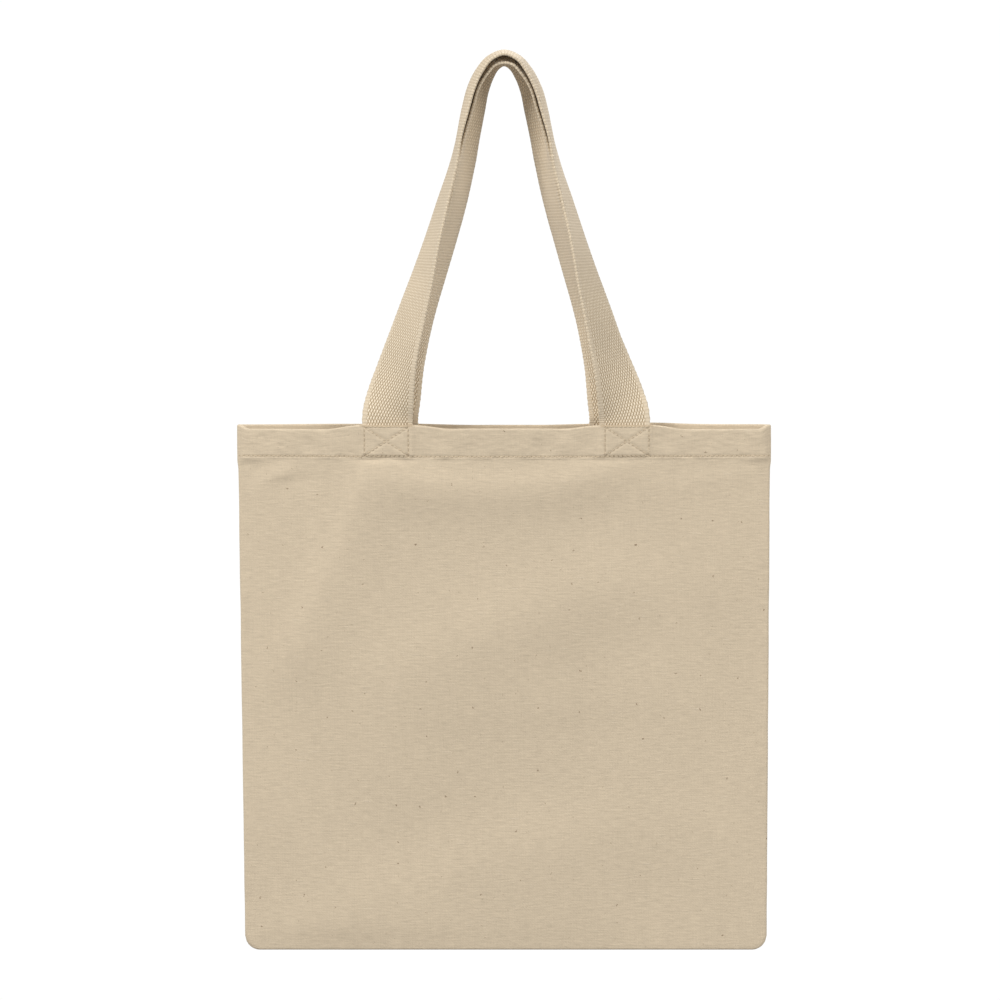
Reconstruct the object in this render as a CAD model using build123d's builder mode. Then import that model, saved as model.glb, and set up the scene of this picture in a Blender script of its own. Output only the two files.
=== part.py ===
"""Canvas tote bag hung by its two webbing handles over a round rod.

Units are millimetres, +Z is up and +Y points to the back of the bag.
The origin is the centre of the rod that carries the handles, midway along their width.
Heights called "up" are measured from the bottom edge of the bag.
"""

import os
from math import cos, degrees, exp, radians, sin, sqrt

from build123d import *

# ---------------------------------------------------------------- driving dimensions
mouth_width = 400.0
bottom_width = 395.0
bag_height = 397.5
canvas = 0.8  # thickness of one layer of canvas
webbing_width = 38.0
webbing_thickness = 2.5
hem_depth = 27.5  # from the mouth down to the lower edge of the turned-in hem
mouth_bulge = 17.0  # how far each panel stands out from its side seams at the mouth
seam_allowance = 10.0
corner_radius = 8.0  # bottom corners of the bag, as they turn out
rod_radius = 10.5  # the rod, peg or hook under the inner handle
rod_above_mouth = 258.0
pivot_above_mouth = 12.0  # where the webbing starts to bend when a handle falls over
end_slope = 50.0  # degrees below level at which the sewn ends are cut, clear of a folded handle
front_leg_x = 88.8  # centre of each sewn end of the front handle
back_leg_x = 83.4  # centre of each sewn end of the back handle

# ---------------------------------------------------------------- derived sizes and places
half_width = mouth_width / 2
side_lean = (mouth_width - bottom_width) / 2 / bag_height  # how much the sides draw in going down
mouth_z = -rod_above_mouth
bottom_z = mouth_z - bag_height
layer_gap = 0.05  # air between layers that lie on each other
edge_half = canvas + 1.0  # half of the bag's thickness along its seams
hem_fold = 2 * (canvas + layer_gap)  # depth at which the innermost hem layer starts
hem_thickness = hem_fold + canvas
webbing_outer = hem_thickness + layer_gap
webbing_inner = webbing_outer + webbing_thickness
webbing_middle = (webbing_outer + webbing_inner) / 2
thread = 0.45  # width of a row of stitches
thread_height = 0.35
thread_gap = 0.03
hem_line = 25.0  # the hem's row of stitches, below the mouth
box_width = 33.0
box_top = 1.8
box_bottom = 24.2
end_gap = 0.3  # clearance between a handle and the sewn ends that it bends from
flat_foot = 10.0  # the webbing goes straight up this far from the pivot before it turns
arch_height = 250.0  # from the pivot to where the arch begins
pivot_z = mouth_z + pivot_above_mouth
hem_reach = 194.0  # half the width of the hem's inner layers
panel_stations = [(0.0, 0.3), (50.0, 8.0), (150.0, 14.0), (bag_height - hem_depth, mouth_bulge)]

FRONT = -1
BACK = 1


# ---------------------------------------------------------------- the panels' curved form
def stand_out(x, bulge):
    """How far a panel with this bulge stands out from the seam line at x."""
    radius = (half_width**2 + bulge**2) / (2 * bulge)
    return sqrt(radius**2 - x**2) - (radius - bulge)


def surface_y(side, x, depth, bulge=mouth_bulge):
    """Y of the surface that lies this deep behind a panel's outer face."""
    return side * (edge_half + stand_out(x, bulge) - depth)


def layer_outline(side, x0, x1, depth0, depth1, bulge=mouth_bulge):
    """Draws the plan outline of a curved layer between two depths, in the active BuildLine."""
    middle = (x0 + x1) / 2
    outer = [(x, surface_y(side, x, depth0, bulge)) for x in (x0, middle, x1)]
    inner = [(x, surface_y(side, x, depth1, bulge)) for x in (x1, middle, x0)]
    ThreePointArc(*outer)
    Line(outer[-1], inner[0])
    ThreePointArc(*inner)
    Line(inner[-1], outer[0])


def hem_layer(side, low, high, x0, x1, depth0, depth1):
    """A curved layer in the hem's zone, between two distances below the mouth."""
    with BuildSketch(Plane.XY.offset(mouth_z - low)) as plan:
        with BuildLine():
            layer_outline(side, x0, x1, depth0, depth1)
        make_face()
    extrude(plan.sketch, amount=low - high)


def bag_face(inset=0.0):
    """The bag's face outline in XZ, with its two bottom corners rounded."""
    top, low = mouth_z + inset, bottom_z + inset
    with BuildSketch(Plane.XZ) as outline:
        with BuildLine():
            Polyline(
                (inset - bottom_width / 2, low),
                (bottom_width / 2 - inset, low),
                (half_width - inset, top),
                (inset - half_width, top),
                close=True,
            )
        make_face()
        fillet(outline.vertices().sort_by(Axis.Y)[:2], corner_radius - inset)
    return outline.sketch


# ---------------------------------------------------------------- canvas panels
def make_panel(side, label):
    """One side of the bag: a curved sheet, its turned-in edge and its double-folded hem."""
    with BuildPart() as panel:
        for up, bulge in panel_stations + [(bag_height, mouth_bulge)]:
            with BuildSketch(Plane.XY.offset(bottom_z + up)):
                with BuildLine():
                    layer_outline(side, -half_width, half_width, 0, canvas, bulge)
                make_face()
        loft(ruled=True)
        extrude(bag_face(), amount=2 * (edge_half + mouth_bulge), both=True, mode=Mode.INTERSECT)
        # the edge curls in to the seam line down both sides and along the bottom
        with BuildSketch(Plane.XZ.offset(-side * layer_gap)):
            add(bag_face())
            add(bag_face(canvas), mode=Mode.SUBTRACT)
        extrude(amount=-side * (edge_half - canvas))
        # the hem turns over at the mouth, comes down and tucks its raw edge under itself
        tuck = 9.0
        hem_layer(side, canvas, 0, -hem_reach, hem_reach, canvas / 2, hem_thickness)
        hem_layer(side, hem_depth, 0, -hem_reach, hem_reach, hem_fold, hem_thickness)
        hem_layer(
            side, hem_depth, hem_depth - canvas, -hem_reach, hem_reach, canvas + layer_gap, hem_thickness
        )
        hem_layer(
            side,
            hem_depth,
            hem_depth - tuck,
            -hem_reach,
            hem_reach,
            canvas + layer_gap,
            hem_fold - layer_gap,
        )
    panel.part.label = label
    return panel.part


# ---------------------------------------------------------------- seams inside the bag
seam_clearance = 0.1  # between the allowances and the fold of canvas round them
seam_low = 12.0  # the side allowances start this far up
seam_high = bag_height - hem_depth - 1.0
ply = canvas - 0.02
overlock_reach = 4.5
overlock_thickness = 0.15


def place_seam_block(side_name, across0, across1, y0, y1, short=0.0):
    """A straight block along a seam; across is measured inwards, short is cut off each end."""
    width, depth = across1 - across0, abs(y1 - y0)
    across, y = (across0 + across1) / 2, (y0 + y1) / 2
    if side_name == "bottom":
        length = bottom_width - 2 * (seam_low + short)
        place = Location((0, y, bottom_z + canvas + seam_clearance + across), (0, 90, 0))
    else:
        sign = -1 if side_name == "left" else 1
        length = seam_high - seam_low - 2 * short
        up = (seam_low + seam_high) / 2
        x = bottom_width / 2 + side_lean * up - canvas - seam_clearance - across
        place = Location((sign * x, y, bottom_z + up), (0, sign * degrees(side_lean), 0))
    with Locations(place):
        Box(width, depth, length)


def make_allowance(side_name):
    """The two layers of canvas that run on past a seam's stitches into the bag."""
    with BuildPart() as allowance:
        for side in (FRONT, BACK):
            place_seam_block(side_name, 0, seam_allowance, side * 0.02, side * ply)
    allowance.part.label = f"{side_name}_seam_allowance"
    return allowance.part


def make_seam_stitch(side_name):
    """The straight row of stitches that closes a seam, seen on both faces of its allowance."""
    with BuildPart() as stitch:
        for side in (FRONT, BACK):
            near = side * (ply + thread_gap)
            place_seam_block(side_name, 1.0, 1.0 + thread, near, side * 0.97, 2)
    stitch.part.label = f"{side_name}_seam_stitch"
    return stitch.part


def make_overlock(side_name):
    """The threads that wrap the raw edges of an allowance together."""
    near = ply + thread_gap
    far = near + overlock_thickness
    edge = seam_allowance + thread_gap
    with BuildPart() as overlock:
        for side in (FRONT, BACK):
            place_seam_block(
                side_name, edge - overlock_reach, edge + overlock_thickness, side * near, side * far, 1
            )
        place_seam_block(side_name, edge, edge + overlock_thickness, -far, far, 1)
    overlock.part.label = f"{side_name}_seam_overlock"
    return overlock.part


# ---------------------------------------------------------------- stitches through the hem
def make_hem_stitch(side, leg_x, label):
    """The row of stitches round the hem: one line outside, and one inside that stops at the webbing."""
    low, high = hem_line + thread / 2, hem_line - thread / 2
    inside0 = hem_thickness + thread_gap
    inside1 = inside0 + thread_height
    tab = webbing_width / 2 + 0.3
    inside_reach = hem_reach - 8
    with BuildPart() as stitch:
        hem_layer(side, low, high, 3 - half_width, half_width - 3, -thread_height, -thread_gap)
        for x0, x1 in (
            (-inside_reach, -leg_x - tab),
            (-leg_x + tab, leg_x - tab),
            (leg_x + tab, inside_reach),
        ):
            hem_layer(side, low, high, x0, x1, inside0, inside1)
    stitch.part.label = label
    return stitch.part


def make_box_stitch(side, x, label):
    """A box with a cross in it that fastens one end of a handle, on the canvas and on the webbing."""
    height = box_bottom - box_top
    diagonal = sqrt(box_width**2 + height**2)
    slope = Vector(box_width, height).get_angle(Vector(1, 0))
    left, right = x - box_width / 2 - 1, x + box_width / 2 + 1
    inside0 = webbing_inner + thread_gap
    with BuildPart() as stitch:
        hem_layer(side, box_bottom + 1, box_top - 1, left, right, -thread_height, -thread_gap)
        hem_layer(side, box_bottom + 1, box_top - 1, left, right, inside0, inside0 + thread_height)
        with BuildSketch(Plane.XZ):
            with Locations((x, mouth_z - (box_top + box_bottom) / 2)):
                Rectangle(box_width, height)
                Rectangle(box_width - 2 * thread, height - 2 * thread, mode=Mode.SUBTRACT)
                Rectangle(diagonal - 1, thread, rotation=slope)
                Rectangle(diagonal - 1, thread, rotation=-slope)
        extrude(amount=2 * mouth_bulge, both=True, mode=Mode.INTERSECT)
    stitch.part.label = label
    return stitch.part


# ---------------------------------------------------------------- webbing handles
def pivot_y(side, leg_x):
    """Y of the middle of the webbing where it leaves the hem."""
    return surface_y(side, leg_x, webbing_middle)


def make_handle_end(side, x, label):
    """The sewn end of a handle, inside the hem, up to where the free webbing bends."""
    x0, x1 = x - webbing_width / 2, x + webbing_width / 2
    clearance = webbing_thickness / 2 + end_gap
    # its top slopes away below the handle, as the handle lies when it is folded right over
    down = Vector(0, -side * cos(radians(end_slope)), -sin(radians(end_slope)))
    under_handle = Plane(origin=Vector(0, pivot_y(side, x), pivot_z) + down * clearance, z_dir=down)
    with BuildPart() as end:
        hem_layer(side, hem_depth - 1, clearance - pivot_above_mouth, x0, x1, webbing_outer, webbing_inner)
        split(bisect_by=under_handle, keep=Keep.TOP)
    end.part.label = label
    return end.part


def front_turn(above):
    """Degrees between the front handle's width and the depth axis, this far above its flat foot."""
    fast = 21 * exp(-above / 12)
    slow = 60 * exp(-above / 75)
    return fast + slow + 9 * (1 - (above / arch_height) ** 8)


def back_turn(above):
    """Degrees between the back handle's width and the depth axis, this far above its flat foot."""
    return 73 * exp(-above / 32) + 17 * (1 - (above / arch_height) ** 4)


def leg_section(place, tangent, turn, lean):
    """The webbing's cross-section plane. Lean is -1 where the left leg's inner edge comes forward."""
    across = Vector(sin(radians(turn)), lean * cos(radians(turn)), 0)
    across = across - tangent * across.dot(tangent)
    return Plane(origin=place, x_dir=across.normalized(), z_dir=tangent)


def make_handle(side, leg_x, arch_radius, arch_z, arch_half_angle, route, turn, label):
    """A loop of webbing: a round arch over the rod, and two legs that turn to face the panel."""
    inner = arch_radius
    outer = arch_radius + webbing_thickness
    middle = (inner + outer) / 2
    angle = radians(arch_half_angle)
    arch_end = Vector(-middle * sin(angle), 0, arch_z + middle * cos(angle))
    arch_tangent = Vector(cos(angle), 0, sin(angle))
    foot = Vector(-leg_x, pivot_y(side, leg_x), pivot_z)
    path = Spline(
        foot,
        *[Vector(x, y, pivot_z + above) for x, y, above in route],
        arch_end,
        tangents=[(0, 0, 1), arch_tangent],
    )
    stations = 20
    planes = [
        leg_section(
            path @ (n / stations),
            path % (n / stations),
            turn(max((path @ (n / stations)).Z - pivot_z - flat_foot, 0)) if n < stations else 0,
            side,
        )
        for n in range(stations + 1)
    ]
    with BuildPart() as handle:
        for plane in planes:
            with BuildSketch(plane):
                Rectangle(webbing_width, webbing_thickness)
        loft(ruled=True)
        # a round lower end, about the line that the handle turns on
        with BuildSketch(Plane.YZ.offset(-leg_x - webbing_width / 2)):
            with Locations((foot.Y, foot.Z)):
                Circle(webbing_thickness / 2)
        extrude(amount=webbing_width)
        mirror(about=Plane.YZ)
        with BuildSketch(Plane.XZ):
            with BuildLine():
                for radius in (inner, outer):
                    CenterArc((0, arch_z), radius, 90 - arch_half_angle, 2 * arch_half_angle)
                for sign in (-1, 1):
                    Line(
                        (sign * inner * sin(angle), arch_z + inner * cos(angle)),
                        (sign * outer * sin(angle), arch_z + outer * cos(angle)),
                    )
            make_face()
        extrude(amount=webbing_width / 2, both=True)
    handle.part.label = label
    return handle.part


# points of each leg's middle line between the pivot and the arch: x, y, height above the pivot
front_route = [(-79.0, -12.5, 43), (-70.5, -11.5, 72), (-56.5, -7.0, 117), (-38.0, -1.0, 188)]
back_route = [(-69.7, 12.5, 43), (-59.0, 11.5, 72), (-44.0, 7.0, 117), (-26.5, 1.0, 188)]


def make_all():
    parts = [make_panel(FRONT, "front_panel"), make_panel(BACK, "back_panel")]
    for side_name in ("left", "right", "bottom"):
        parts.append(make_allowance(side_name))
        parts.append(make_seam_stitch(side_name))
        parts.append(make_overlock(side_name))
    for side, face, leg_x in ((FRONT, "front", front_leg_x), (BACK, "back", back_leg_x)):
        parts.append(make_hem_stitch(side, leg_x, f"{face}_hem_stitch"))
        for hand, x in (("left", -leg_x), ("right", leg_x)):
            parts.append(make_handle_end(side, x, f"{face}_handle_end_{hand}"))
            parts.append(make_box_stitch(side, x, f"{face}_box_stitch_{hand}"))
    parts.append(
        make_handle(FRONT, front_leg_x, 21.0, -1.5, 78, front_route, front_turn, "front_handle")
    )
    parts.append(
        make_handle(BACK, back_leg_x, rod_radius, 0.0, 76, back_route, back_turn, "back_handle")
    )
    return parts


os.makedirs("parts", exist_ok=True)
for part in make_all():
    export_step(part, f"parts/{part.label}.step")
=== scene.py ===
from math import atan, cos, pi, sin

import bmesh
import bpy
import numpy as np
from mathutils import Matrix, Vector


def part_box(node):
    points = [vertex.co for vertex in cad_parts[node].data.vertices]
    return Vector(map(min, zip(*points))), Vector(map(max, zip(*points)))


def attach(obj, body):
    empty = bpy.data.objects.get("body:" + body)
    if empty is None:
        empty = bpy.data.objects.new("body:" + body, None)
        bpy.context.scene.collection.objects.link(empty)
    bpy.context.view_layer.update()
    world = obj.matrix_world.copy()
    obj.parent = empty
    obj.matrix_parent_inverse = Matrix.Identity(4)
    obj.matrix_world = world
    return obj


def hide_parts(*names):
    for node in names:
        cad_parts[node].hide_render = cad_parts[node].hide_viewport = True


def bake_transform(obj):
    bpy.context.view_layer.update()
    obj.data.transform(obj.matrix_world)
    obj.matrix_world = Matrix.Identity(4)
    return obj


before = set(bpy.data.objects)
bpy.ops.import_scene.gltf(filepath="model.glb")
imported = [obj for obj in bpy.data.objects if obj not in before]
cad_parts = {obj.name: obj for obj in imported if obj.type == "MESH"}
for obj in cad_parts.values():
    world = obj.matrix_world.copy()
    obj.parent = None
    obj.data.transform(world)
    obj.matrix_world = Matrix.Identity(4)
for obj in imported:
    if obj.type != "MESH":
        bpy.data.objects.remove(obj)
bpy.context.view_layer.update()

# Lengths are metres, +Z is up, and the bag's front faces -Y. "Up" is measured from the bottom edge.
mm = 0.001
FRONT, BACK = -1, 1
FACES = {FRONT: "front", BACK: "back"}
SEAMS = ("left", "right", "bottom")

# ---------------------------------------------------------------- sizes, from the frame where it has them
panel_low, panel_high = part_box("front_panel")
half_width = panel_high[0]
mouth_z = panel_high[2]
bottom_z = panel_low[2]
height = mouth_z - bottom_z
canvas = 0.8 * mm
draw_in = 2.5 * mm  # how much each side draws in from the mouth to the bottom
sway = 1.5 * mm  # how far the bottom hangs to the right of the mouth
corner = 11 * mm
seam_half = 1.8 * mm  # half of the bag's thickness along its seams
mouth_bulge = -panel_low[1] - seam_half
hem_depth = 27.5 * mm
hem_line = 23.5 * mm  # how far below the mouth the hem is stitched
hem_turn = 0.85 * mm  # radius of the cloth's turn over the mouth
hem_reach = half_width - 2 * mm  # half the length of the hem's row of stitches
stitch_pitch = 3.4 * mm
thread_radius = 0.26 * mm
edge_turn = 1.35 * mm  # radius that a panel's edges turn in with, along its seams
allowance_width = 10 * mm
webbing_width = 38 * mm
webbing_thickness = 2.3 * mm
weave_pitch = 4.5 * mm  # two rows of the webbing's raised picks
leg_x = {FRONT: 88.4 * mm, BACK: 83.2 * mm}
leg_shift = {FRONT: 1.6 * mm, BACK: -0.2 * mm}  # how far right of centre a handle is sewn on
box_x = {FRONT: 89.7 * mm, BACK: 83.2 * mm}
box_shift = {FRONT: 1.9 * mm, BACK: -0.2 * mm}
box_half_width = 16.4 * mm
box_top = 1.2 * mm
box_bottom = 22.9 * mm


def smooth(low, high, x):
    """0 below low, 1 above high, and an even turn between them."""
    t = np.clip((np.asarray(x, float) - low) / (high - low), 0, 1)
    return t * t * (3 - 2 * t)


def waves(seed, x, z, longest, count=7):
    """An even, rolling unevenness from -1 to 1, made of a few sine waves."""
    draw = np.random.default_rng(seed)
    total = np.zeros(np.broadcast(x, z).shape)
    for _ in range(count):
        length = longest * draw.uniform(0.35, 1)
        angle = draw.uniform(0, pi)
        phase = draw.uniform(0, 2 * pi)
        total += length / longest * np.sin(2 * pi * (x * cos(angle) + z * sin(angle)) / length + phase)
    return total / count * 1.6


# ---------------------------------------------------------------- making meshes
def make_object(name, points, faces, uv=None):
    mesh = bpy.data.meshes.new(name)
    faces = faces.tolist() if isinstance(faces, np.ndarray) else faces
    mesh.from_pydata(np.asarray(points).tolist(), [], faces)
    if uv is not None:
        layer = mesh.uv_layers.new(name="cloth")
        corners = np.zeros(len(mesh.loops), np.int32)
        mesh.loops.foreach_get("vertex_index", corners)
        layer.data.foreach_set("uv", np.asarray(uv, np.float32)[corners].ravel())
    mesh.shade_smooth()
    obj = bpy.data.objects.new(name, mesh)
    bpy.context.scene.collection.objects.link(obj)
    return obj


def grid_faces(rows, columns, flip=False, closed=False):
    """Quads between neighbouring points of a grid, row by row; closed joins the last column to the first."""
    r = np.arange(rows - 1)[:, None]
    c = np.arange(columns if closed else columns - 1)[None, :]
    n = (c + 1) % columns
    quads = [r * columns + c, r * columns + n, (r + 1) * columns + n, (r + 1) * columns + c]
    quads = np.stack([q + 0 * (r + c) for q in quads], axis=-1).reshape(-1, 4)
    return quads[:, ::-1] if flip else quads


def set_weights(obj, weight):
    """Works out how far each point would follow the second body of a blend, by a rule of the point's place;
    the values are not kept.
    """
    points = np.zeros(len(obj.data.vertices) * 3)
    obj.data.vertices.foreach_get("co", points)
    values = weight(points.reshape(-1, 3)).astype(np.float32)


def thicken(obj, thickness):
    solid = obj.modifiers.new("thickness", "SOLIDIFY")
    solid.thickness = thickness
    solid.offset = 0


def finish_piece(obj, material, nodes=()):
    obj.data.materials.append(material)
    if nodes:
        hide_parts(*nodes)
    return obj


# ---------------------------------------------------------------- the cloth's shape
def stand_out(x, up):
    """How far a panel bows out between its side seams."""
    t = up / height
    bulge = mouth_bulge * t * (0.65 + 0.35 * t)
    return bulge * (1 - np.clip(x / half_width, -1, 1) ** 2)


def fold(x, up, start, end, above, below, rise, bow=0.0):
    """A soft ridge from start to end, in mm, as wide above and below its crest as given; bow is its sag."""
    start, end = np.array(start) * mm, np.array(end) * mm
    along = end - start
    length = np.hypot(*along)
    along = along / length
    t = ((x - start[0]) * along[0] + (up - start[1]) * along[1]) / length
    d = (up - start[1]) * along[0] - (x - start[0]) * along[1]
    d = d / mm + bow * (1 - (2 * np.clip(t, 0, 1) - 1) ** 2)
    side = np.where(d > 0, d / above, d / below)
    ends = smooth(-0.15, 0.2, t) * (1 - smooth(0.8, 1.15, t))
    return rise * mm * ends * np.exp(-(side**2))


def folds(side, x, up):
    """The slack of an empty bag that hangs by its handles."""
    if side == BACK:
        x = 12 * mm - x
    relief = fold(x, up, (-98, 358), (90, 363), 13, 18, 2.5, 12)
    relief += fold(x, up, (-92, 374), (-166, 208), 26, 14, 3.0)
    relief += fold(x, up, (112, 362), (158, 262), 12, 14, 1.1)
    relief += fold(x, up, (-98, 200), (122, 282), 30, 34, 2.8, -8)
    relief += fold(x, up, (-90, 176), (116, 190), 26, 14, 0.7)
    relief += fold(x, up, (-204, -2), (122, 98), 30, 62, 1.6, -4)
    relief += fold(x, up, (-140, 64), (116, 150), 52, 34, -1.3, -3)
    relief += fold(x, up, (-20, 44), (168, 56), 30, 34, -0.5)
    relief += fold(x, up, (-198, 344), (-158, 366), 5, 7, 1.0)
    relief += fold(x, up, (-186, 352), (-140, 357), 4, 5, -0.6)
    relief += fold(x, up, (120, 350), (190, 362), 6, 8, 0.5)
    return relief + 0.45 * mm * waves(11 + side, x, up, 150 * mm)


def box_place(side, x, up):
    """Distances across and up from the centre of the nearer box stitch."""
    across = np.abs(np.abs(x - box_shift[side]) - box_x[side])
    centre_up = height - (box_top + box_bottom) / 2
    return across, np.abs(up - centre_up)


def strap_distance(side, x):
    """Distance across from the middle of the nearer handle leg."""
    return np.abs(np.abs(x - leg_shift[side]) - leg_x[side])


def trench(distance, width):
    return np.exp(-((distance / width) ** 2))


def hem_relief(side, x, up):
    """The hem's thickness, the strap ends behind it, its rows of stitches and the puckers beside them."""
    from_line = up - (height - hem_line)
    in_hem = smooth(-2.8 * mm, -1.0 * mm, from_line)
    relief = (0.30 + 0.12 * waves(29 + side, x, 0 * up, 50 * mm)) * mm * in_hem
    across, beside = box_place(side, x, up)
    box_half_height = (box_bottom - box_top) / 2
    strap_edge = webbing_width / 2
    off_strap = smooth(strap_edge - 1.5 * mm, strap_edge + 2.5 * mm, strap_distance(side, x))
    relief += 0.8 * mm * smooth(-1 * mm, 1.2 * mm, from_line) * (1 - off_strap)
    pucker = waves(31 + side, x, 0 * up, 22 * mm, 9)
    near_hem = smooth(-20 * mm, 0, from_line + 10 * mm)
    relief += 0.42 * mm * pucker * trench(from_line + 5 * mm, 7 * mm) * near_hem
    relief += 0.55 * mm * waves(37 + side, x, up, 38 * mm) * in_hem
    relief += 0.18 * mm * waves(39 + side, x, 1.6 * up, 11 * mm, 11) * in_hem
    gather = 0.1 * np.cos(2 * pi * x / stitch_pitch) + 0.12 * waves(43 + side, x, 0 * up, 60 * mm)
    relief -= (0.34 + gather) * mm * trench(from_line, 1.0 * mm)
    inside = (across < box_half_width + mm) & (beside < box_half_height + mm)
    steep = atan(box_half_height / box_half_width)
    cross = np.abs(across * sin(steep) - beside * cos(steep))
    relief -= 0.3 * mm * trench(across - box_half_width, 0.9 * mm) * (beside < box_half_height)
    relief -= 0.26 * mm * trench(beside - box_half_height, 0.8 * mm) * (across < box_half_width)
    relief -= 0.45 * mm * trench(cross, 1.0 * mm) * inside
    return relief


def mouth_dip(side, x):
    """How far the mouth's edge hangs below its full height, where no strap holds it up."""
    slack = smooth(webbing_width / 2 + 1 * mm, webbing_width / 2 + 30 * mm, strap_distance(side, x))
    middle = 1 - smooth(20 * mm, 80 * mm, np.abs(x))
    even = 1 - smooth(191 * mm, 199.5 * mm, np.abs(x))
    uneven = 0.15 * waves(53 + side, x, 0 * x, 120 * mm)
    if side == FRONT:
        return mm * (0.2 + (-0.1 + (3.3 - 0.9 * middle) * slack + uneven) * even)
    lifted = trench(x - 113 * mm, 22 * mm)
    return mm * (0.2 + (0.1 + 1.1 * middle - 0.8 * lifted + uneven) * even)


def edge_curl(x, up):
    """In-plane place of a nominal point, and how far it is inside the panel's turned edge."""
    reach = half_width - canvas / 2
    p = np.clip((np.abs(x) - (reach - corner)) / corner, 0, 1)
    q = np.clip((corner + canvas / 2 - up) / corner, 0, 1)
    round_p = p * np.sqrt(1 - q * q / 2)
    round_q = q * np.sqrt(1 - p * p / 2)
    in_x = np.where(p > 0, np.sign(x) * (reach - corner + corner * round_p), x)
    in_up = np.where(q > 0, canvas / 2 + corner - corner * round_q, up)
    inside = np.minimum(reach - np.abs(x), up - canvas / 2)
    inside = np.where((p > 0) & (q > 0), corner * (1 - np.hypot(round_p, round_q)), inside)
    below_hem = 1 - smooth(height - hem_depth - 6 * mm, height - hem_depth, in_up)
    drop = (height - in_up) / height
    in_x = in_x * (1 - (draw_in * drop + 0.6 * mm * below_hem) / half_width) + sway * drop
    ripple = 0.25 * mm * waves(71, 0 * in_up, in_up, 70 * mm) * smooth(0.8, 1, np.abs(x) / half_width)
    return in_x + ripple * np.sign(x), in_up, np.maximum(inside, 0)


def cloth_point(side, x, up, depth=0.0):
    """A point of the panel's middle layer; depth goes in from it towards the inside of the bag."""
    in_x, in_up, inside = edge_curl(x, up)
    thick = smooth(height - hem_depth - 2 * mm, height - hem_depth + 2 * mm, up)
    near = np.clip(edge_turn - inside, 0, edge_turn)
    turned = np.sqrt(np.maximum(edge_turn**2 - near**2, 0)) / edge_turn
    layers = 1.1 * mm * thick * smooth(0, 4 * mm, inside) * (1 - smooth(8 * mm, 30 * mm, inside))
    out = 0.05 * mm + turned * (seam_half - canvas / 2 + layers)
    out += stand_out(x, up) * smooth(-2 * mm, 6 * mm, inside)
    flat = smooth(1 * mm, 18 * mm, inside)
    out += (folds(side, x, np.minimum(up, height - hem_depth)) * (1 - 0.75 * thick) * flat)
    out += hem_relief(side, x, up) * smooth(1 * mm, 6 * mm, inside)
    z = bottom_z + in_up - mouth_dip(side, x) * smooth(height - 24 * mm, height - 1 * mm, up)
    narrow = np.where(depth > 0, 1 - depth * 1.2 / half_width, 1)
    return np.stack([in_x * narrow, side * (out - depth * turned), z], axis=-1)


def cloth_normal(side, x, up):
    """Unit normal of the outer face, away from the bag."""
    step = 0.3 * mm
    across = cloth_point(side, x + step, up) - cloth_point(side, x - step, up)
    rise = cloth_point(side, x, up + step) - cloth_point(side, x, up - step)
    normal = np.cross(across, rise)
    normal /= np.linalg.norm(normal, axis=-1, keepdims=True)
    return np.where(normal[..., 1:2] * side < 0, -normal, normal)


def panel_rows():
    """(up, depth) up the outside, over the mouth, down inside the hem and round its tucked-in edge."""
    rows = [canvas / 2 + edge_turn * (1 - cos(a)) for a in np.linspace(0, pi / 2, 6)]
    line_up = height - hem_line
    rows += list(np.arange(rows[-1] + 3 * mm, line_up - 22 * mm, 6 * mm))
    rows += list(np.arange(line_up - 20 * mm, line_up - 3.5 * mm, 2 * mm))
    near_line = (-3.2, -2.6, -2, -1.5, -1.1, -0.7, -0.35, 0, 0.35, 0.7, 1.1, 1.5, 2.2)
    rows += [line_up + d * mm for d in near_line]
    rows += list(np.arange(line_up + 3 * mm, height - 1.6 * mm, 0.95 * mm))
    path = [(up, 0.0) for up in rows]
    centre = height - canvas / 2 - hem_turn
    path += [(centre + hem_turn * sin(a), hem_turn * (1 - cos(a))) for a in np.linspace(0, pi, 9)]
    inner = 2 * hem_turn
    low = height - hem_depth + canvas
    path += [(up, inner) for up in np.linspace(centre - 1 * mm, low, 14)]
    tuck = 0.42 * mm
    path += [(low - tuck * sin(a), inner - tuck * (1 - cos(a))) for a in np.linspace(0, pi, 6)[1:]]
    path += [(low + d * mm, inner - 2 * tuck) for d in (2, 5)]
    return path


def panel_columns():
    """Across the panel, closer together where its edges turn in, and four to a stitch between them."""
    reach = half_width - canvas / 2
    edge = [reach - edge_turn * (1 - cos(a)) for a in np.linspace(0, pi / 2, 6)]
    count = 2 * round(edge[-1] / (stitch_pitch / 4)) + 1
    middle = np.linspace(-edge[-1], edge[-1], count)
    return np.concatenate([-np.array(edge[:-1]), middle, np.array(edge[:-1])[::-1]])


def opening_weight(points):
    """How far a point would go with the mouth's opening: fully in the middle, falling to nothing at the side
    seams.
    """
    return 1 - smooth(112 * mm, 198 * mm, np.abs(points[:, 0]))


def follow_opening(obj):
    """Bakes a piece's placement into its points and works out how far the mouth's opening would move them;
    these weights are not kept.
    """
    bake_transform(obj)
    set_weights(obj, opening_weight)


def make_panel(side, material):
    """One piece of canvas with its hem folded in; also gives its flat size."""
    path = np.array(panel_rows())
    columns = panel_columns()
    x, up = np.meshgrid(columns, path[:, 0])
    depth = np.repeat(path[:, 1:2], len(columns), axis=1)
    points = cloth_point(side, x, up, depth).reshape(-1, 3)
    run = np.concatenate([[0], np.cumsum(np.hypot(*np.diff(path, axis=0).T))]) + canvas / 2
    uv = np.stack([x, np.repeat(run[:, None], len(columns), axis=1)], axis=-1).reshape(-1, 2)
    faces = grid_faces(len(path), len(columns), flip=side == BACK)
    panel = make_object(FACES[side] + "_panel_cloth", points, faces, uv)
    thicken(panel, canvas)
    finish_piece(panel, material, [FACES[side] + "_panel"])
    follow_opening(panel)
    turned_in = 1 * mm
    return panel, (2 * half_width + 2 * turned_in, float(run[-1]))


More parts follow.
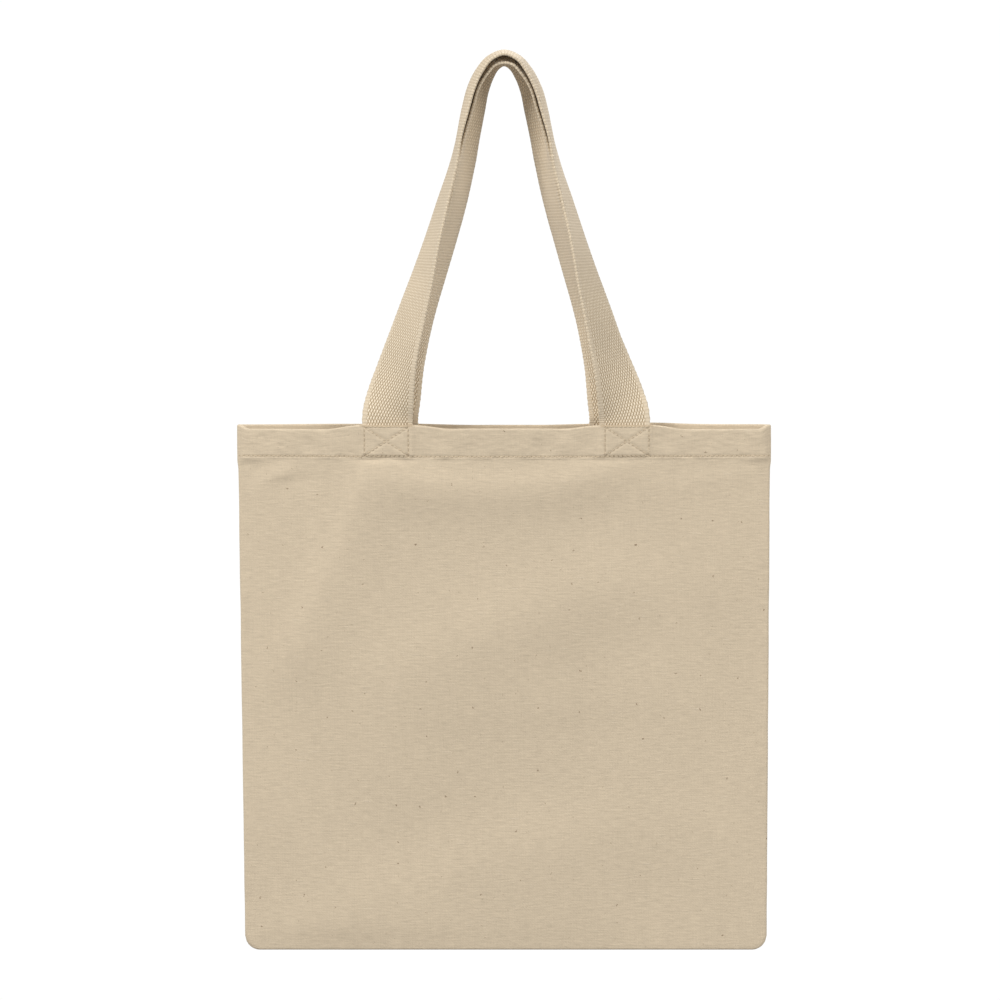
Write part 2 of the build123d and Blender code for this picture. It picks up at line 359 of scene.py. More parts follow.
# ---------------------------------------------------------------- threads
def stitch_mesh(name, centres, directions, normals, length, radius=thread_radius, rise=1.0):
    """Short stitches lying on cloth: each is a small rounded thread that dives in at both ends."""
    rings, sides = 7, 8
    t = np.linspace(-1, 1, rings)
    thick = radius * np.sqrt(np.maximum(1 - np.abs(t) ** 3, 0.04))
    lift = radius * (rise - 1.7 * np.abs(t) ** 3)
    angle = np.linspace(0, 2 * pi, sides, endpoint=False)
    across = np.cross(normals, directions)
    centres = centres[:, None, None, :]
    line = directions[:, None, None, :] * (t * length / 2)[None, :, None, None]
    up = normals[:, None, None, :] * (lift[:, None] + thick[:, None] * np.sin(angle))[None, :, :, None]
    wide = across[:, None, None, :] * (thick[:, None] * np.cos(angle) * 1.15)[None, :, :, None]
    points = (centres + line + up + wide).reshape(-1, 3)
    one = grid_faces(rings, sides, closed=True)
    step = rings * sides
    faces = (one[None] + (np.arange(len(directions)) * step)[:, None, None]).reshape(-1, 4)
    caps = [[first + k for k in ring] for first in range(0, len(points), step)
            for ring in (range(sides - 1, -1, -1), range(step - sides, step))]
    return make_object(name, points, faces.tolist() + caps)


def stitch_line(start, end):
    """Centres of the stitches from start to end, (x, up), and the direction they run in."""
    start, end = np.array(start), np.array(end)
    length = np.hypot(*(end - start))
    count = max(1, round(length / stitch_pitch))
    t = (np.arange(count) + 0.5) / count
    centres = start + (end - start) * t[:, None]
    return centres, np.repeat([(end - start) / length], count, axis=0)


def sew(side, lines, outside=True, extra_depth=0.0):
    """Stitch centres, directions and normals on a panel, from lines of (x, up)."""
    step = 0.8 * mm
    centres, directions = [], []
    for start, end in lines:
        middle, along = stitch_line(start, end)
        ahead = middle + along * step
        behind = middle - along * step
        a = cloth_point(side, ahead[:, 0], ahead[:, 1])
        b = cloth_point(side, behind[:, 0], behind[:, 1])
        centres.append((a + b) / 2)
        directions.append((a - b) / np.linalg.norm(a - b, axis=1, keepdims=True))
        normal = cloth_normal(side, middle[:, 0], middle[:, 1])
        reach = canvas / 2 if outside else -(canvas / 2 + 2 * hem_turn + extra_depth)
        centres[-1] = centres[-1] + normal * reach
        directions[-1] = np.concatenate([directions[-1], normal if outside else -normal], axis=1)
    both = np.concatenate(directions)
    return np.concatenate(centres), both[:, :3], both[:, 3:]


def make_hem_stitch(side, material):
    """One row along the hem outside, and the same row inside, between the strap ends."""
    up = height - hem_line
    lines = [((-hem_reach, up), (hem_reach, up))]
    outer = sew(side, lines)
    strap = webbing_width / 2 + 0.5 * mm
    left, right = leg_shift[side] - leg_x[side], leg_shift[side] + leg_x[side]
    end = hem_reach - 4 * mm
    gaps = [(-end, left - strap), (left + strap, right - strap), (right + strap, end)]
    inner = sew(side, [((a, up), (b, up)) for a, b in gaps], outside=False)
    parts = [np.concatenate(pair) for pair in zip(outer, inner)]
    name = FACES[side] + "_hem_stitch"
    obj = stitch_mesh(name + "_thread", *parts, stitch_pitch * 0.84)
    finish_piece(obj, material, [name])
    follow_opening(obj)
    return obj


def make_box_stitch(side, hand, material):
    """A box of stitches with a cross in it, through the hem and a strap end."""
    centre = box_shift[side] + (box_x[side] if hand == "right" else -box_x[side])
    left, right = centre - box_half_width, centre + box_half_width
    top, low = height - box_top, height - box_bottom
    inset = 1.6 * mm
    lines = [
        ((left, low), (right, low)),
        ((left, top), (right, top)),
        ((left, low), (left, top)),
        ((right, low), (right, top)),
        ((left + inset, low + inset), (right - inset, top - inset)),
        ((left + inset, top - inset), (right - inset, low + inset)),
    ]
    outer = sew(side, lines)
    inner = sew(side, lines, outside=False, extra_depth=webbing_thickness + 0.1 * mm)
    parts = [np.concatenate(pair) for pair in zip(outer, inner)]
    name = f"{FACES[side]}_box_stitch_{hand}"
    obj = stitch_mesh(name + "_thread", *parts, stitch_pitch * 0.82)
    finish_piece(obj, material, [name])
    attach(obj, FACES[side] + "_side")
    return obj


# ---------------------------------------------------------------- seams inside the bag
def seam_frame(name):
    """Start, end and inward direction of a seam, in the plane of the bag."""
    low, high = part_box(name + "_seam_allowance")
    if name == "bottom":
        return Vector((low[0] + sway, 0, low[2])), Vector((high[0] + sway, 0, low[2])), Vector((0, 0, 1))
    sign = -1 if name == "left" else 1
    clearance = 0.7 * mm  # room for the panels' turned edges
    outer = (high[0] if sign > 0 else -low[0]) - clearance
    lean = draw_in * (high[2] - low[2]) / height
    drop = [(mouth_z - z) / height for z in (low[2], high[2])]
    start = Vector((sign * (outer - lean) + sway * drop[0], 0, low[2]))
    end = Vector((sign * outer + sway * drop[1], 0, high[2]))
    return start, end, Vector((-sign, 0, 0))


def make_allowance(name, material):
    """Two layers of canvas, back to back, that run on past the seam's stitches."""
    start, end, inward = seam_frame(name)
    rows, columns = 7, 120
    ply_middle, ply = 0.4 * mm, 0.72 * mm
    points, faces, uv = [], [], []
    for side in (FRONT, BACK):
        first = len(points)
        for r in range(rows):
            for c in range(columns):
                t = c / (columns - 1)
                across = r / (rows - 1) * allowance_width
                ripple = 0.12 * mm * sin(c * 0.9 + r) * r / rows
                place = start.lerp(end, t) + inward * across + Vector((0, side * ply_middle + ripple, 0))
                points.append(place[:])
                uv.append((t * (end - start).length, across))
        faces += (grid_faces(rows, columns, flip=side == FRONT) + first).tolist()
    obj = make_object(name + "_seam_allowance_cloth", points, faces, uv)
    thicken(obj, ply)
    finish_piece(obj, material, [name + "_seam_allowance"])
    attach(obj, "seams")
    return obj


def make_seam_stitch(name, material):
    """The lock stitches that join the panels, on both sides of the allowance."""
    pitch, stitch, radius = 3 * mm, 2.5 * mm, 0.14 * mm
    from_edge, outside = 1.2 * mm, 0.78 * mm
    start, end, inward = seam_frame(name)
    length = (end - start).length
    count = round(length / pitch)
    along = np.array((end - start) / length)
    centres, directions, normals = [], [], []
    for side in (FRONT, BACK):
        for n in range(1, count - 1):
            place = start.lerp(end, (n + 0.5) / count) + inward * from_edge
            centres.append((place[0], side * outside, place[2]))
            directions.append(along)
            normals.append((0, side, 0))
    full = name + "_seam_stitch"
    parts = map(np.array, (centres, directions, normals))
    obj = stitch_mesh(full + "_thread", *parts, stitch, radius, 0.6)
    finish_piece(obj, material, [full])
    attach(obj, "seams")
    return obj


def tube(path, radius, sides=6):
    """Points and faces of a thread along a path."""
    path = np.asarray(path)
    tangent = np.gradient(path, axis=0)
    tangent /= np.linalg.norm(tangent, axis=1, keepdims=True)
    side_way = np.cross(tangent, (0.13, 0.21, 0.97))
    side_way /= np.linalg.norm(side_way, axis=1, keepdims=True)
    other = np.cross(tangent, side_way)
    angle = np.linspace(0, 2 * pi, sides, endpoint=False)
    ring = side_way[:, None] * np.cos(angle)[None, :, None] + other[:, None] * np.sin(angle)[None, :, None]
    points = (path[:, None] + radius * ring).reshape(-1, 3)
    return points, grid_faces(len(path), sides, closed=True)


def make_overlock(name, material):
    """Looper threads that wrap the raw edges together, and the needle line that holds them."""
    start, end, inward = seam_frame(name)
    length = (end - start).length - 2 * mm
    along = np.array((end - start).normalized())
    start = np.array(start) + along * mm
    inward = np.array(inward)
    near, edge, face = 5.7 * mm, 10.15 * mm, 0.92 * mm  # needle line, raw edge, thread off the middle
    loop_pitch, radius = 2.2 * mm, 0.13 * mm
    loops = round(length / loop_pitch)
    steps = 12
    t = np.arange(loops * steps + 1) / steps
    phase = 2 * pi * t
    wrap = near + (edge - near) * (0.5 - 0.5 * np.cos(phase))
    over = face * np.cos(phase / 2) / np.maximum(np.abs(np.cos(phase / 2)), 0.35)
    lean = 0.45 * np.sin(phase)
    points, faces = [], []
    paths = [start + along * ((t + lean) * length / loops)[:, None] + inward * wrap[:, None]
             + np.array((0, 1, 0)) * over[:, None]]
    for side in (FRONT, BACK):
        wave = near + 0.25 * mm * np.cos(phase)
        paths.append(start + along * (t * length / loops)[:, None] + inward * wave[:, None]
                     + np.array((0, side * face, 0)))
        slant = near + (edge - near) * np.abs((t % 1) * 2 - 1)
        paths.append(start + along * (t * length / loops)[:, None] + inward * slant[:, None]
                     + np.array((0, side * face * 0.96, 0)))
    for path in paths:
        ring, quads = tube(path, radius)
        faces += (quads + len(points)).tolist()
        points += ring.tolist()
    full = name + "_seam_overlock"
    obj = make_object(full + "_thread", points, faces)
    finish_piece(obj, material, [full])
    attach(obj, "seams")
    return obj


# ---------------------------------------------------------------- webbing handles
# Half of each handle, from its sewn end to the top of its arch. Each row is a place along it: height above
# the mouth, distance out from the centre, distance from the bag's middle plane, degrees that the webbing is
# turned away from edge-on, and how far its middle stands out past its edges.
HALF_HANDLES = {
    FRONT: [
        (-20, 88.4, 13.0, 90, 0), (-6, 88.4, 13.0, 90, 0), (6, 88.3, 12.8, 86, 0),
        (20, 86.0, 12.7, 70, 0), (41, 81.1, 12.3, 51, 0), (61, 75.4, 11.8, 41, 0),
        (81, 69.8, 11.0, 34.5, 0), (106, 62.6, 9.5, 27, 0), (131, 56.0, 7.3, 19, 0),
        (168, 45.8, 4.0, 12, 0), (195, 38.1, 3.0, 7.5, 0.3), (214, 34.0, 3.0, 4.5, 1),
        (235, 29.1, 3.2, 7, 1.6), (250, 24.7, 3.2, 7, 2.0), (263, 18.0, 3.2, 6, 2.2),
        (271.6, 10.6, 3.2, 4, 2.2), (275.7, 0, 3.2, 3, 2.2),
    ],
    BACK: [
        (-20, 83.2, 13.4, 90, 0), (-6, 83.2, 13.4, 90, 0), (6, 83.2, 13.1, 86, 0),
        (20, 80.6, 12.8, 71, 0), (41, 75.6, 12.3, 51, 0), (61, 69.9, 11.8, 40, 0),
        (81, 63.4, 11.0, 31.5, 0), (106, 54.6, 9.5, 25, 0), (131, 45.8, 7.3, 20, 0),
        (168, 35.0, 4.0, 18.5, 0), (198, 28.5, 2.4, 18.6, 2.4), (214, 24.9, 1.4, 16, 5.8),
        (235, 19.6, 0.4, 12.5, 6.4), (250, 15.6, 0.0, 9.8, 7.2), (260, 10.5, -0.2, 6, 7.8),
        (266.3, 5.4, -0.2, 3, 8.4), (268.3, 0, -0.2, 0, 8.6),
    ],
}


def smooth_through(rows, step):
    """A smooth line through rows of values, in equal steps; the first three values are its place."""
    gaps = np.linalg.norm(np.diff(rows[:, :3], axis=0), axis=1)
    places = np.concatenate([[0], np.cumsum(gaps)])
    slopes = np.gradient(rows, places, axis=0)
    along = np.linspace(0, places[-1], round(places[-1] / step) + 1)
    k = np.clip(np.searchsorted(places, along, side="right") - 1, 0, len(gaps) - 1)
    t = ((along - places[k]) / gaps[k])[:, None]
    before = rows[k] * (1 + 2 * t) + slopes[k] * t * gaps[k][:, None]
    after = rows[k + 1] * (3 - 2 * t) - slopes[k + 1] * (1 - t) * gaps[k][:, None]
    return before * (1 - t) ** 2 + after * t**2


def handle_frames(side):
    """Places along the middle of a handle, and the directions along, across and out from its outer face."""
    above, out, depth, turn, crown = np.array(HALF_HANDLES[side], float).T
    lean = 0.9 * np.sin(pi * np.clip(above / 278, 0, 1) ** 1.3)
    shift = leg_shift[side] / mm * (1 - np.clip(above / 60, 0, 1)) + lean
    left = np.stack([shift - out, side * depth, above, turn, crown], axis=1)
    right = np.stack([shift + out, side * depth, above, turn, crown], axis=1)
    line = smooth_through(np.concatenate([left, right[::-1][1:]]), 1.0)
    path = line[:, :3] * mm + np.array((0, 0, mouth_z))
    tangent = np.gradient(path, axis=0)
    tangent /= np.linalg.norm(tangent, axis=1, keepdims=True)
    outward = np.stack([-tangent[:, 2], 0 * tangent[:, 0], tangent[:, 0]], axis=1)
    outward /= np.linalg.norm(outward, axis=1, keepdims=True)
    turn = np.radians(line[:, 3:4])
    across = np.array((0, side, 0)) * np.cos(turn) - outward * np.sin(turn)
    across -= tangent * (across * tangent).sum(axis=1, keepdims=True)
    across /= np.linalg.norm(across, axis=1, keepdims=True)
    return path, across, -side * np.cross(across, tangent), line[:, 4] * mm


def webbing_section():
    """Outline of the webbing across its width: flat faces, a thicker rolled selvedge at each edge."""
    half, thick = webbing_width / 2, webbing_thickness / 2
    flat = half - thick
    across = np.linspace(-flat, flat, 25)
    body = thick * (1 - 0.1 * np.cos(pi * across / flat) ** 2)
    upper = list(zip(across, body))
    right = [(flat + thick * sin(a), thick * cos(a)) for a in np.linspace(0, pi, 8)[1:-1]]
    lower = [(a, -b) for a, b in upper[::-1]]
    left = [(-a, -b) for a, b in right]
    return np.array(upper + right + lower + left)


def face_outward(obj):
    """Turns every face's front away from the inside of the piece."""
    mesh = bmesh.new()
    mesh.from_mesh(obj.data)
    bmesh.ops.recalc_face_normals(mesh, faces=mesh.faces)
    mesh.to_mesh(obj.data)
    mesh.free()


def make_handle(side, material):
    """One continuous piece of webbing, from one sewn end over the arch to the other."""
    path, across, normal, crown = handle_frames(side)
    section = webbing_section()
    gaps = np.linalg.norm(np.diff(path, axis=0), axis=1)
    run = np.concatenate([[0], np.cumsum(gaps)])
    nub = 1 + 0.010 * np.sin(2 * pi * run / weave_pitch)
    wide = section[None, :, 0] * nub[:, None]
    wave = 0.12 * mm * waves(91 + side, run, 0 * run, 40 * mm)
    bow = crown[:, None] * (1 - (section[None, :, 0] / (webbing_width / 2)) ** 2) ** 2
    high = section[None, :, 1] + wave[:, None] + bow
    points = path[:, None] + across[:, None] * wide[..., None] + normal[:, None] * high[..., None]
    uv = np.stack([np.broadcast_to(section[None, :, 0], wide.shape),
                   np.broadcast_to(run[:, None], wide.shape)], axis=-1)
    count = len(section)
    faces = grid_faces(len(path), count, closed=True).tolist()
    last = (len(path) - 1) * count
    faces += [list(range(count - 1, -1, -1)), list(range(last, last + count))]
    name = FACES[side] + "_handle"
    obj = make_object(name + "_webbing", points.reshape(-1, 3), faces, uv.reshape(-1, 2))
    face_outward(obj)
    finish_piece(obj, material, [name, name + "_end_left", name + "_end_right"])
    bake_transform(obj)
    return obj


# ---------------------------------------------------------------- materials
class Shader:
    """A small builder for node materials: each method returns a socket."""

    def __init__(self, name):
        self.material = bpy.data.materials.new(name)
        self.material.use_nodes = True
        self.nodes = self.material.node_tree.nodes
        self.links = self.material.node_tree.links
        self.shader = self.nodes["Principled BSDF"]

    def feed(self, socket, value):
        if isinstance(value, bpy.types.NodeSocket):
            self.links.new(value, socket)
        else:
            socket.default_value = value

    def math(self, operation, a, b=0.0):
        node = self.nodes.new("ShaderNodeMath")
        node.operation = operation
        self.feed(node.inputs[0], a)
        self.feed(node.inputs[1], b)
        return node.outputs[0]

    def step(self, value, low, high, to_low=0.0, to_high=1.0):
        node = self.nodes.new("ShaderNodeMapRange")
        node.interpolation_type = "SMOOTHSTEP"
        for socket, item in zip(node.inputs, (value, low, high, to_low, to_high)):
            self.feed(socket, item)
        return node.outputs[0]

    def uv(self):
        node = self.nodes.new("ShaderNodeUVMap")
        node.uv_map = "cloth"
        return node.outputs[0]

    def place(self):
        return self.nodes.new("ShaderNodeTexCoord").outputs["Object"]

    def split(self, vector):
        node = self.nodes.new("ShaderNodeSeparateXYZ")
        self.links.new(vector, node.inputs[0])
        return node.outputs

    def scaled(self, vector, scale):
        node = self.nodes.new("ShaderNodeMapping")
        self.links.new(vector, node.inputs[0])
        node.inputs["Scale"].default_value = scale
        return node.outputs[0]

    def noise(self, vector, scale, detail=2.0, rough=0.5):
        node = self.nodes.new("ShaderNodeTexNoise")
        self.links.new(vector, node.inputs["Vector"])
        node.inputs["Scale"].default_value = scale
        node.inputs["Detail"].default_value = detail
        node.inputs["Roughness"].default_value = rough
        return node.outputs["Fac"]

    def noise_vector(self, vector, scale):
        node = self.nodes.new("ShaderNodeTexNoise")
        self.links.new(vector, node.inputs["Vector"])
        node.inputs["Scale"].default_value = scale
        return node.outputs["Color"]

    def specks(self, vector, scale, radius, share):
        """Small dots, one at most to a cell: radius in cells, share is how many cells have one."""
        near = self.nodes.new("ShaderNodeTexVoronoi")
        near.voronoi_dimensions = "2D"
        self.links.new(vector, near.inputs["Vector"])
        near.inputs["Scale"].default_value = scale
        chosen = self.split(near.outputs["Color"])
        size = self.math("MULTIPLY", chosen[1], radius)
        dot = self.math("LESS_THAN", near.outputs["Distance"], self.math("ADD", size, radius * 0.35))
        return self.math("MULTIPLY", dot, self.math("LESS_THAN", chosen[0], share))

    def mix(self, factor, a, b, blend="MIX"):
        node = self.nodes.new("ShaderNodeMix")
        node.data_type = "RGBA"
        node.blend_type = blend
        self.feed(node.inputs[0], factor)
        self.feed(node.inputs[6], a)
        self.feed(node.inputs[7], b)
        return node.outputs[2]

    def tone(self, colour, factor):
        """Multiplies a colour by a grey factor."""
        node = self.nodes.new("ShaderNodeCombineColor")
        for k in range(3):
            self.feed(node.inputs[k], factor)
        return self.mix(1.0, colour, node.outputs[0], "MULTIPLY")

    def bump(self, height, strength, distance, below=None):
        node = self.nodes.new("ShaderNodeBump")
        node.inputs["Strength"].default_value = strength
        node.inputs["Distance"].default_value = distance
        self.links.new(height, node.inputs["Height"])
        if below is not None:
            self.links.new(below, node.inputs["Normal"])
        return node.outputs[0]

    def finish(self, colour, normal, roughness=0.92, sheen=0.12):
        self.feed(self.shader.inputs["Base Color"], colour)
        self.shader.inputs["Roughness"].default_value = roughness
        self.shader.inputs["Specular IOR Level"].default_value = 0.18
        self.shader.inputs["Sheen Weight"].default_value = sheen
        self.shader.inputs["Sheen Roughness"].default_value = 0.6
        self.links.new(normal, self.shader.inputs["Normal"])
        return self.material


CANVAS_COLOUR = (0.562, 0.464, 0.335, 1)
# painted shade, for the needle pricks and the hem's edge over a strap
CANVAS_PAINTED_SHADE = (0.400, 0.310, 0.205, 1)
CANVAS_LIGHT = (0.680, 0.585, 0.450, 1)
SEED_COLOUR = (0.130, 0.070, 0.032, 1)
# painted shade for the webbing's gaps and the lines between its rows
WEBBING_PAINTED_SHADE = (0.270, 0.190, 0.100, 1)
WEBBING_BASE = (0.645, 0.534, 0.386, 1)
# painted highlight for the webbing's raised picks and selvedge ribs
WEBBING_PAINTED_HIGHLIGHT = (0.880, 0.775, 0.610, 1)
THREAD_COLOUR = (0.590, 0.485, 0.345, 1)


def canvas_material(name, side=None):
    """Natural cotton canvas: plain weave, slubs, seed flecks; side adds a panel's painted shade at its
    needle pricks and along its hem's edge over a strap.
    """
    s = Shader(name)
    uv = s.uv()
    u, v, _ = s.split(uv)
    weft = s.noise(s.scaled(uv, (100, 800, 1)), 1.0, 3, 0.65)
    warp = s.noise(s.scaled(uv, (900, 30, 1)), 1.0, 3, 0.65)
    grain = s.noise(uv, 800.0, 2, 0.7)
    blotch = s.noise(uv, 14.0, 3, 0.5)
    level = s.math("ADD", s.math("MULTIPLY", weft, 0.46), s.math("MULTIPLY", warp, 0.12))
    level = s.math("ADD", level, s.math("MULTIPLY", grain, 0.24))
    level = s.math("ADD", level, s.math("MULTIPLY", blotch, 0.10))
    colour = s.tone(CANVAS_COLOUR, s.math("ADD", level, 0.54))
    slub = s.step(s.noise(s.scaled(uv, (80, 1300, 1)), 1.0, 1, 0.4), 0.68, 0.80)
    colour = s.mix(s.math("MULTIPLY", slub, 0.5), colour, CANVAS_LIGHT)
    bent = s.mix(0.004, uv, s.noise_vector(uv, 700.0))
    fleck = s.specks(bent, 42.0, 0.020, 0.70)
    colour = s.mix(s.math("MULTIPLY", fleck, 0.65), colour, SEED_COLOUR)
    tiny = s.specks(bent, 120.0, 0.036, 0.45)
    colour = s.mix(s.math("MULTIPLY", tiny, 0.30), colour, SEED_COLOUR)
    if side is not None:
        # painted shade at the needle pricks and a painted shadow line at the hem's edge over a strap
        stitch_shade = painted_stitch_shade(s, u, v, side)
        colour = s.mix(s.math("MULTIPLY", stitch_shade, 0.8), colour, CANVAS_PAINTED_SHADE)
    yarn = 0.62 * mm
    over = s.math("MULTIPLY", s.math("SINE", s.math("MULTIPLY", u, pi / yarn)),
                  s.math("SINE", s.math("MULTIPLY", v, pi / yarn)))
    rows = s.math("ADD", s.math("MULTIPLY", over, 0.35), s.math("MULTIPLY", weft, 1.6))
    rows = s.math("ADD", rows, s.math("MULTIPLY", warp, 1.0))
    rows = s.math("ADD", rows, slub)
    normal = s.bump(rows, 0.55, 0.16 * mm)
    return s.finish(colour, normal)


def painted_stitch_shade(s, u, v, side):
    """Painted shade in dark dots where the stitches go through the cloth, and a painted shadow line along
    the hem's edge over a strap.
    """
    # each dot is painted shade in a needle prick
    def dots(along, distance, pitch, allowed):
        phase = s.math("PINGPONG", s.math("ADD", along, 10 * pitch), pitch / 2)
        far = s.math("SQRT", s.math("ADD", s.math("POWER", phase, 2.0), s.math("POWER", distance, 2.0)))
        return s.math("MULTIPLY", s.step(far, 0.35 * mm, 0.95 * mm, 1.0, 0.0), allowed)

    from_line = s.math("ABSOLUTE", s.math("SUBTRACT", v, height - hem_line))
    pitch = 2 * hem_reach / round(2 * hem_reach / stitch_pitch)
    total = dots(s.math("ADD", u, hem_reach), from_line, pitch, 1.0)
    shifted = s.math("ABSOLUTE", s.math("SUBTRACT", u, box_shift[side]))
    across = s.math("ABSOLUTE", s.math("SUBTRACT", shifted, box_x[side]))
    half_high = (box_bottom - box_top) / 2
    beside = s.math("ABSOLUTE", s.math("SUBTRACT", v, height - (box_top + box_bottom) / 2))
    near_box = s.math("MULTIPLY", s.math("LESS_THAN", across, box_half_width + 0.5 * mm),
                      s.math("LESS_THAN", beside, half_high + 0.5 * mm))
    pitch_wide = 2 * box_half_width / round(2 * box_half_width / stitch_pitch)
    pitch_high = 2 * half_high / round(2 * half_high / stitch_pitch)
    to_side = s.math("SUBTRACT", across, box_half_width)
    to_level = s.math("SUBTRACT", beside, half_high)
    upright = dots(s.math("ADD", beside, half_high), to_side, pitch_high, near_box)
    total = s.math("MAXIMUM", total, upright)
    level = dots(s.math("ADD", across, box_half_width), to_level, pitch_wide, near_box)
    total = s.math("MAXIMUM", total, level)
    # a painted shadow line along the hem's top edge where it lies over a strap
    edge_shadow_band = s.math("MULTIPLY", s.step(v, height - 1.5 * mm, height - 0.9 * mm),
                     s.step(v, height + 0.4 * mm, height + 1 * mm, 1.0, 0.0))
    over_strap = s.step(across, webbing_width / 2, webbing_width / 2 + 1.5 * mm, 0.95, 0.0)
    total = s.math("MAXIMUM", total, s.math("MULTIPLY", edge_shadow_band, over_strap))
    steep = atan(half_high / box_half_width)
    along = s.math("ADD", s.math("MULTIPLY", across, cos(steep)), s.math("MULTIPLY", beside, sin(steep)))
    off = s.math("SUBTRACT", s.math("MULTIPLY", across, sin(steep)), s.math("MULTIPLY", beside, cos(steep)))
    return s.math("MAXIMUM", total, dots(s.math("ADD", along, 1.2 * mm), off, 3.2 * mm, near_box))


def webbing_material():
    """Heavy cotton webbing: staggered rows of raised picks between two smooth selvedges.

    The picks are boldest near the sewn ends and flatten into cross ribs towards the top of the arch; the
    colour adds painted highlights on the picks and the selvedges' ribs, and painted shade in the gaps and
    between the rows.
    """
    pick_pitch = 2.15 * mm
    rib_pitch = weave_pitch / 2
    handle_middle = 317 * mm
    s = Shader("cotton_webbing")
    uv = s.uv()
    u, v, _ = s.split(uv)
    grain = s.noise(uv, 1300.0, 2, 0.6)
    drift = s.math("MULTIPLY", s.noise(uv, 110.0, 2, 0.5), 2.2)
    across = s.math("ADD", s.math("MULTIPLY", u, 2 * pi / pick_pitch), drift)
    along = s.math("MULTIPLY", v, 2 * pi / weave_pitch)
    across = s.math("ADD", across, s.math("MULTIPLY", s.math("SINE", s.math("MULTIPLY", along, 2.0)), -0.35))
    nub = s.math("MULTIPLY", s.math("COSINE", across), s.math("COSINE", along))
    between = s.math("POWER", s.math("SINE", along), 2.0)
    nub = s.math("SUBTRACT", nub, s.math("MULTIPLY", between, 0.45))
    nub = s.math("ADD", nub, s.math("MULTIPLY", s.math("SUBTRACT", grain, 0.5), 0.7))
    raised = s.step(nub, 0.10, 0.80)
    sunk = s.step(nub, -0.75, -0.25, 1.0, 0.0)
    edge = s.step(s.math("ABSOLUTE", u), 14.9 * mm, 15.9 * mm)
    inside = s.math("SUBTRACT", 1.0, edge)
    from_middle = s.math("ABSOLUTE", s.math("SUBTRACT", v, handle_middle))
    near_end = s.step(from_middle, 185 * mm, 255 * mm)
    strength = s.math("ADD", s.math("MULTIPLY", near_end, 0.5), 0.5)
    inside = s.math("MULTIPLY", inside, strength)
    rib = s.step(s.math("COSINE", s.math("MULTIPLY", v, 2 * pi / rib_pitch)), -0.9, 0.6)
    # painted highlight on the raised picks and painted shade in the sunk gaps between them
    colour = s.mix(s.math("MULTIPLY", s.math("MULTIPLY", raised, inside), 0.9), WEBBING_BASE, WEBBING_PAINTED_HIGHLIGHT)
    colour = s.mix(s.math("MULTIPLY", s.math("MULTIPLY", sunk, inside), 0.80), colour, WEBBING_PAINTED_SHADE)
    # painted shade along the hollows between the rows, stronger towards the top of the arch
    row = s.math("MULTIPLY", s.math("MULTIPLY", between, s.math("SUBTRACT", 1.0, strength)), 0.34)
    colour = s.mix(row, colour, WEBBING_PAINTED_SHADE)
    # painted highlight on the crests of the selvedges' ribs
    pale = s.math("ADD", s.math("MULTIPLY", rib, 0.30), -0.10)
    colour = s.mix(s.math("MULTIPLY", pale, edge), colour, WEBBING_PAINTED_HIGHLIGHT)
    colour = s.tone(colour, s.math("SUBTRACT", 1.0, s.math("MULTIPLY", edge, 0.10)))
    blotch = s.noise(uv, 30.0, 3, 0.5)
    colour = s.tone(colour, s.math("ADD", s.math("MULTIPLY", blotch, 0.16), 0.92))
    height_field = s.math("SUBTRACT", s.math("MULTIPLY", raised, inside), s.math("MULTIPLY", sunk, inside))
    height_field = s.math("ADD", height_field, s.math("MULTIPLY", rib, s.math("MULTIPLY", edge, 0.7)))
    normal = s.bump(height_field, 0.6, 0.30 * mm, s.bump(grain, 0.3, 0.1 * mm))
    return s.finish(colour, normal, 0.9, 0.15)


def thread_material():
    """Spun cotton thread, with the fine slant of its twist."""
    s = Shader("cotton_thread")
    place = s.place()
    x, y, z = s.split(place)
    slant = s.math("ADD", s.math("ADD", x, y), z)
    twist = s.math("SINE", s.math("MULTIPLY", slant, 2 * pi / (0.35 * mm)))
    grain = s.noise(place, 2500.0, 2, 0.6)
    colour = s.tone(THREAD_COLOUR, s.math("ADD", s.math("MULTIPLY", grain, 0.3), 0.85))
    return s.finish(colour, s.bump(twist, 0.4, 0.05 * mm), 0.8, 0.1)


# ---------------------------------------------------------------- the bag
thread = thread_material()
webbing = webbing_material()
plain_canvas = canvas_material("cotton_canvas")
for seam in SEAMS:
    make_allowance(seam, plain_canvas)
for seam in SEAMS:
    make_seam_stitch(seam, thread)
    make_overlock(seam, thread)
for face in (FRONT, BACK):
    panel, flat = make_panel(face, canvas_material(FACES[face] + "_panel_canvas", face))
    sewn = [make_hem_stitch(face, thread)]
    sewn += [make_box_stitch(face, hand, thread) for hand in ("left", "right")]
    handle = make_handle(face, webbing)


# ---------------------------------------------------------------- floor, light and camera
def white_to_camera(tree, shader, output):
    """Mixes in plain white wherever the camera looks straight at a surface, and leaves its light alone."""
    white = tree.nodes.new("ShaderNodeEmission")
    white.inputs["Strength"].default_value = 1.02
    either = tree.nodes.new("ShaderNodeMixShader")
    tree.links.new(tree.nodes.new("ShaderNodeLightPath").outputs["Is Camera Ray"], either.inputs[0])
    tree.links.new(shader.outputs[0], either.inputs[1])
    tree.links.new(white.outputs[0], either.inputs[2])
    tree.links.new(either.outputs[0], output.inputs["Surface"])


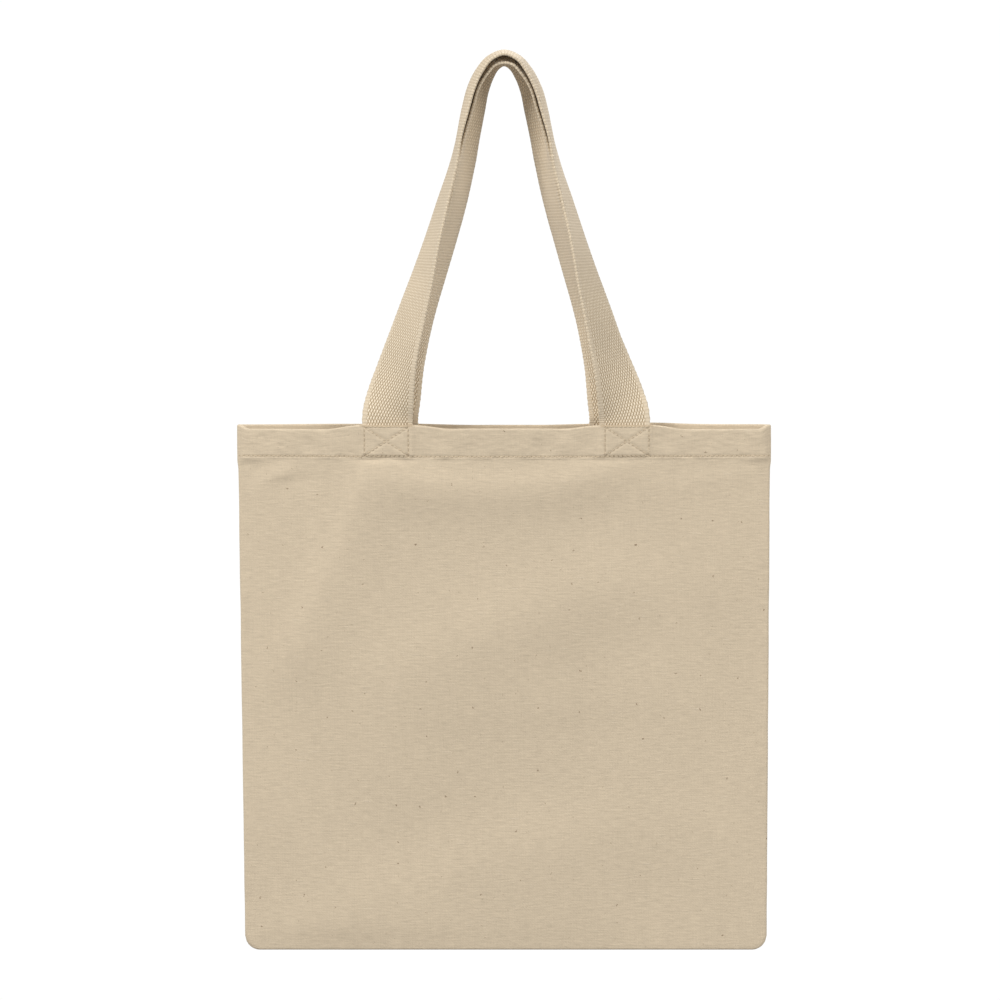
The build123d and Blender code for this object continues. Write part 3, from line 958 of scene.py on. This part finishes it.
def make_floor():
    """A pale floor well below the hanging bag, as white as the background."""
    material = bpy.data.materials.new("pale_floor")
    material.use_nodes = True
    nodes = material.node_tree.nodes
    shader = nodes["Principled BSDF"]
    shader.inputs["Base Color"].default_value = (0.42, 0.42, 0.42, 1)
    shader.inputs["Roughness"].default_value = 1.0
    shader.inputs["Specular IOR Level"].default_value = 0.0
    white_to_camera(material.node_tree, shader, nodes["Material Output"])
    size, z = 14.0, bottom_z - 0.45
    corners = [(-size, -size, z), (size, -size, z), (size, size, z), (-size, size, z)]
    floor = make_object("pale_floor", corners, [[0, 1, 2, 3]])
    floor.data.materials.append(material)


def make_light(name, place, power):
    """A round soft light, turned to the middle of the bag."""
    target = Vector((0, 0, -0.35))
    light = bpy.data.lights.new(name, "AREA")
    light.shape = "DISK"
    light.size = 1.8
    light.energy = power
    lamp = bpy.data.objects.new(name, light)
    lamp.location = place
    lamp.rotation_mode = "QUATERNION"
    lamp.rotation_quaternion = (target - Vector(place)).to_track_quat("-Z", "Y")
    bpy.context.scene.collection.objects.link(lamp)


def make_camera():
    frame_width = 0.75  # metres across the picture, at the bag
    aim = Vector((-0.003, 0, -0.315))
    place = Vector((aim.x, -2.95, -0.12))
    camera = bpy.data.cameras.new("camera")
    camera.sensor_width = 36
    camera.lens = camera.sensor_width * (aim - place).length / frame_width
    camera.clip_end = 60
    obj = bpy.data.objects.new("camera", camera)
    obj.location = place
    obj.rotation_mode = "QUATERNION"
    obj.rotation_quaternion = (aim - place).to_track_quat("-Z", "Y")
    bpy.context.scene.collection.objects.link(obj)
    bpy.context.scene.camera = obj


def make_world():
    world = bpy.data.worlds.new("studio")
    world.use_nodes = True
    nodes = world.node_tree.nodes
    nodes["Background"].inputs[0].default_value = (1, 1, 1, 1)
    nodes["Background"].inputs[1].default_value = 0.38
    white_to_camera(world.node_tree, nodes["Background"], nodes["World Output"])
    bpy.context.scene.world = world
    bpy.context.scene.view_settings.view_transform = "Standard"


make_floor()
make_world()
make_light("key", (-2.5, -2.1, 2.7), 180)
make_light("fill", (2.7, -2.0, 1.1), 66)
make_light("rear", (0.9, 2.9, 1.6), 90)
make_camera()
